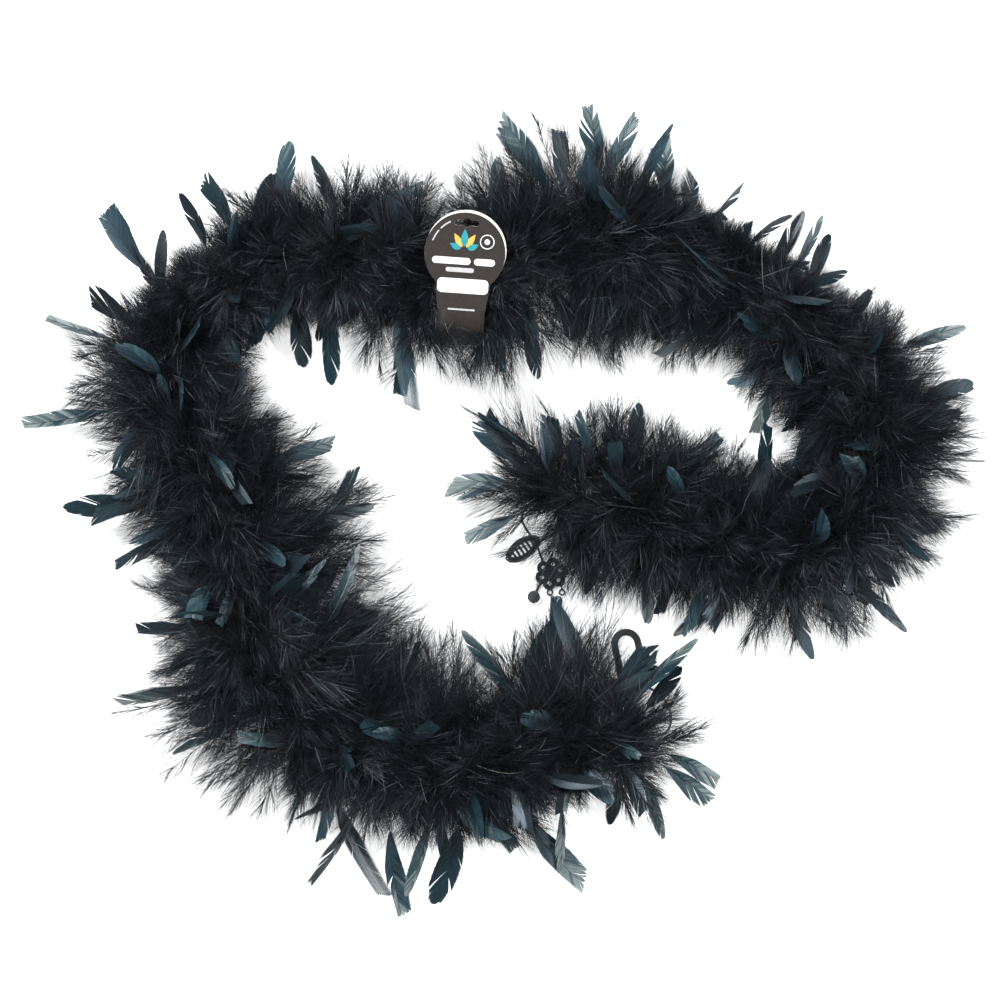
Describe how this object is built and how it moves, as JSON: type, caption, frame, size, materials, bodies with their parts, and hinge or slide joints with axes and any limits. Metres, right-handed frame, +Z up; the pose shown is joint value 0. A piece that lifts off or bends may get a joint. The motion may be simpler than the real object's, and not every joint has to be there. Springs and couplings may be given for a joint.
{
  "type": "feather boa",
  "caption": "Fluffy dark feather boa laid in an open loop, with a round header card wrapped on it and a crochet tie at each end.",
  "frame": {"origin": "on the surface that the boa lies on, under the middle of its bounding box", "axes": "+X along the longer side of the loop, towards the side opposite the loop's open tail; +Y towards the header card's side; +Z up from the surface"},
  "size_m": [0.8631, 0.7327, 0.107],
  "materials": {
    "core_cord": "twisted cotton cord",
    "thread": "satin thread",
    "down": "soft matt down",
    "plume": "satin dark teal feather",
    "card": "coated print, matt",
    "label": "matt, blank",
    "crochet": "mercerised yarn"
  },
  "bodies": {
    "section_01": {"core_cord_01": "core_cord", "binding_thread_01": "thread", "down_feathers_01": "down", "plume_feathers_01": "plume", "end_whipping_a": "thread"},
    "section_02": {"core_cord_02": "core_cord", "binding_thread_02": "thread", "down_feathers_02": "down", "plume_feathers_02": "plume"},
    "section_03": {"core_cord_03": "core_cord", "binding_thread_03": "thread", "down_feathers_03": "down", "plume_feathers_03": "plume"},
    "section_04": {"core_cord_04": "core_cord", "binding_thread_04": "thread", "down_feathers_04": "down", "plume_feathers_04": "plume"},
    "section_05": {"core_cord_05": "core_cord", "binding_thread_05": "thread", "down_feathers_05": "down", "plume_feathers_05": "plume"},
    "section_06": {"core_cord_06": "core_cord", "binding_thread_06": "thread", "down_feathers_06": "down", "plume_feathers_06": "plume"},
    "section_07": {"core_cord_07": "core_cord", "binding_thread_07": "thread", "down_feathers_07": "down", "plume_feathers_07": "plume"},
    "section_08": {"core_cord_08": "core_cord", "binding_thread_08": "thread", "down_feathers_08": "down", "plume_feathers_08": "plume"},
    "section_09": {"core_cord_09": "core_cord", "binding_thread_09": "thread", "down_feathers_09": "down", "plume_feathers_09": "plume"},
    "section_10": {"core_cord_10": "core_cord", "binding_thread_10": "thread", "down_feathers_10": "down", "plume_feathers_10": "plume"},
    "section_11": {"core_cord_11": "core_cord", "binding_thread_11": "thread", "down_feathers_11": "down", "plume_feathers_11": "plume"},
    "section_12": {"core_cord_12": "core_cord", "binding_thread_12": "thread", "down_feathers_12": "down", "plume_feathers_12": "plume", "end_whipping_b": "thread"},
    "card": {"header_card": "card", "card_label": "label"},
    "tie_a": {"tie_cord_a": "crochet", "tie_leaf": "crochet", "tie_rosette": "crochet", "tie_ball": "crochet"},
    "tie_b": {"tie_cord_b": "crochet", "tie_loop": "crochet"}
  },
  "joints": [
    {"name": "lift_01_02", "type": "hinge", "parent": "section_02", "child": "section_01", "pos_m": [0.1861, -0.02593, 0.052], "axis": [0.4695, 0.8829, 0], "range_deg": [0, 30]},
    {"name": "sway_02_03", "type": "hinge", "parent": "section_03", "child": "section_02", "pos_m": [0.32065, 0.0039, 0.052], "axis": [0, 0, 1], "range_deg": [-4, 18]},
    {"name": "sway_03_04", "type": "hinge", "parent": "section_04", "child": "section_03", "pos_m": [0.30411, 0.13857, 0.052], "axis": [0, 0, 1], "range_deg": [-4, 8]},
    {"name": "sway_04_05", "type": "hinge", "parent": "section_05", "child": "section_04", "pos_m": [0.18134, 0.22454, 0.052], "axis": [0, 0, 1], "range_deg": [-5, 12]},
    {"name": "sway_05_06", "type": "hinge", "parent": "section_06", "child": "section_05", "pos_m": [0.03812, 0.22704, 0.052], "axis": [0, 0, 1], "range_deg": [-8, 20]},
    {"name": "sway_06_07", "type": "hinge", "parent": "section_06", "child": "section_07", "pos_m": [-0.10681, 0.21691, 0.052], "axis": [0, 0, 1], "range_deg": [-20, 8]},
    {"name": "sway_07_08", "type": "hinge", "parent": "section_07", "child": "section_08", "pos_m": [-0.25174, 0.20677, 0.052], "axis": [0, 0, 1], "range_deg": [-25, 3]},
    {"name": "sway_08_09", "type": "hinge", "parent": "section_08", "child": "section_09", "pos_m": [-0.28531, 0.07697, 0.052], "axis": [0, 0, 1], "range_deg": [-28, 6]},
    {"name": "lift_09_10", "type": "hinge", "parent": "section_09", "child": "section_10", "pos_m": [-0.23689, -0.06364, 0.052], "axis": [-0.9945, -0.1045, 0], "range_deg": [0, 25]},
    {"name": "sway_10_11", "type": "hinge", "parent": "section_10", "child": "section_11", "pos_m": [-0.16924, -0.19359, 0.052], "axis": [0, 0, 1], "range_deg": [-30, 8]},
    {"name": "lift_11_12", "type": "hinge", "parent": "section_11", "child": "section_12", "pos_m": [-0.02927, -0.23109, 0.052], "axis": [0.1908, -0.9816, 0], "range_deg": [0, 30]},
    {"name": "card_flip", "type": "hinge", "parent": "section_06", "child": "card", "pos_m": [-0.03489, 0.18197, 0.056], "axis": [0.9976, -0.0698, 0], "range_deg": [0, 70]},
    {"name": "tie_a_swing", "type": "hinge", "parent": "section_01", "child": "tie_a", "pos_m": [0.042, 0.01, 0.052], "axis": [0, 0, 1], "range_deg": [-25, 4]},
    {"name": "tie_b_swing", "type": "hinge", "parent": "section_12", "child": "tie_b", "pos_m": [0.135, -0.203, 0.052], "axis": [0, 0, 1], "range_deg": [-20, 3]}
  ]
}
